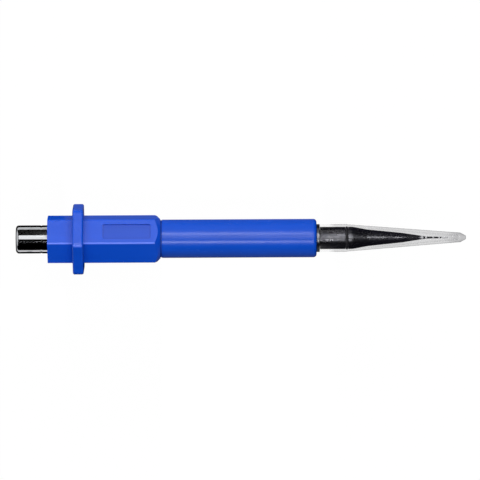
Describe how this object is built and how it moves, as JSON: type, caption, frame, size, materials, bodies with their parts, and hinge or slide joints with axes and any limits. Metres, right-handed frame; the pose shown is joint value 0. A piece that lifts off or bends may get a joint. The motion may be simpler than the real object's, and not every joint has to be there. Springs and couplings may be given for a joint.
{
  "type": "periodontal probe",
  "caption": "Pen-shaped probe: chromed push button, blue hexagonal grip with finger guard, round barrel, collet, and a tapering tip under a clear cap.",
  "frame": {"origin": "on the tool's axis, half-way along the round barrel's visible length", "axes": "+X along the axis towards the tip; +Z out of the flat with the marking recess"},
  "size_m": [0.1278, 0.021, 0.0186],
  "materials": {
    "blue_moulding": "blue injection-moulded plastic, satin to gloss",
    "blue_barrel": "blue moulded plastic, glossier and slightly darker",
    "chrome_plate": "polished chrome plate",
    "dark_steel": "dark polished steel",
    "turned_steel": "turned steel",
    "spring_steel": "drawn spring steel",
    "turned_brass": "turned brass",
    "black_rubber": "black nitrile rubber",
    "band_black": "matt black marking lacquer",
    "clear_plastic": "clear moulded plastic"
  },
  "bodies": {
    "handle": {"rear_body": "blue_moulding", "barrel": "blue_barrel", "joint_o_ring": "black_rubber", "rear_bush": "turned_brass", "spring_seat": "turned_steel", "guide_bush": "turned_brass", "closer_sleeve": "turned_steel", "nose_ferrule": "chrome_plate", "return_spring": "spring_steel"},
    "plunger": {"plunger": "chrome_plate", "plunger_seal": "black_rubber", "plunger_pin": "turned_steel", "push_rod": "turned_steel", "spring_cup": "turned_brass", "retaining_clip": "spring_steel", "collet": "turned_steel"},
    "tip": {"probe_tip": "dark_steel", "depth_band_near": "band_black", "depth_band_far": "band_black", "cap_o_ring": "black_rubber"},
    "cap": {"tip_cap": "clear_plastic"}
  },
  "joints": [
    {"name": "plunger_slide", "type": "slide", "parent": "handle", "child": "plunger", "axis": [1, 0, 0], "range_m": [0, 0.004], "stiffness_N_per_m": 800, "springref_m": -0.003, "deforming": ["return_spring"]},
    {"name": "tip_slide", "type": "slide", "parent": "handle", "child": "tip", "axis": [1, 0, 0], "range_m": [0, 0.016]},
    {"name": "cap_slide", "type": "slide", "parent": "tip", "child": "cap", "axis": [1, 0, 0], "range_m": [0, 0.045]}
  ]
}
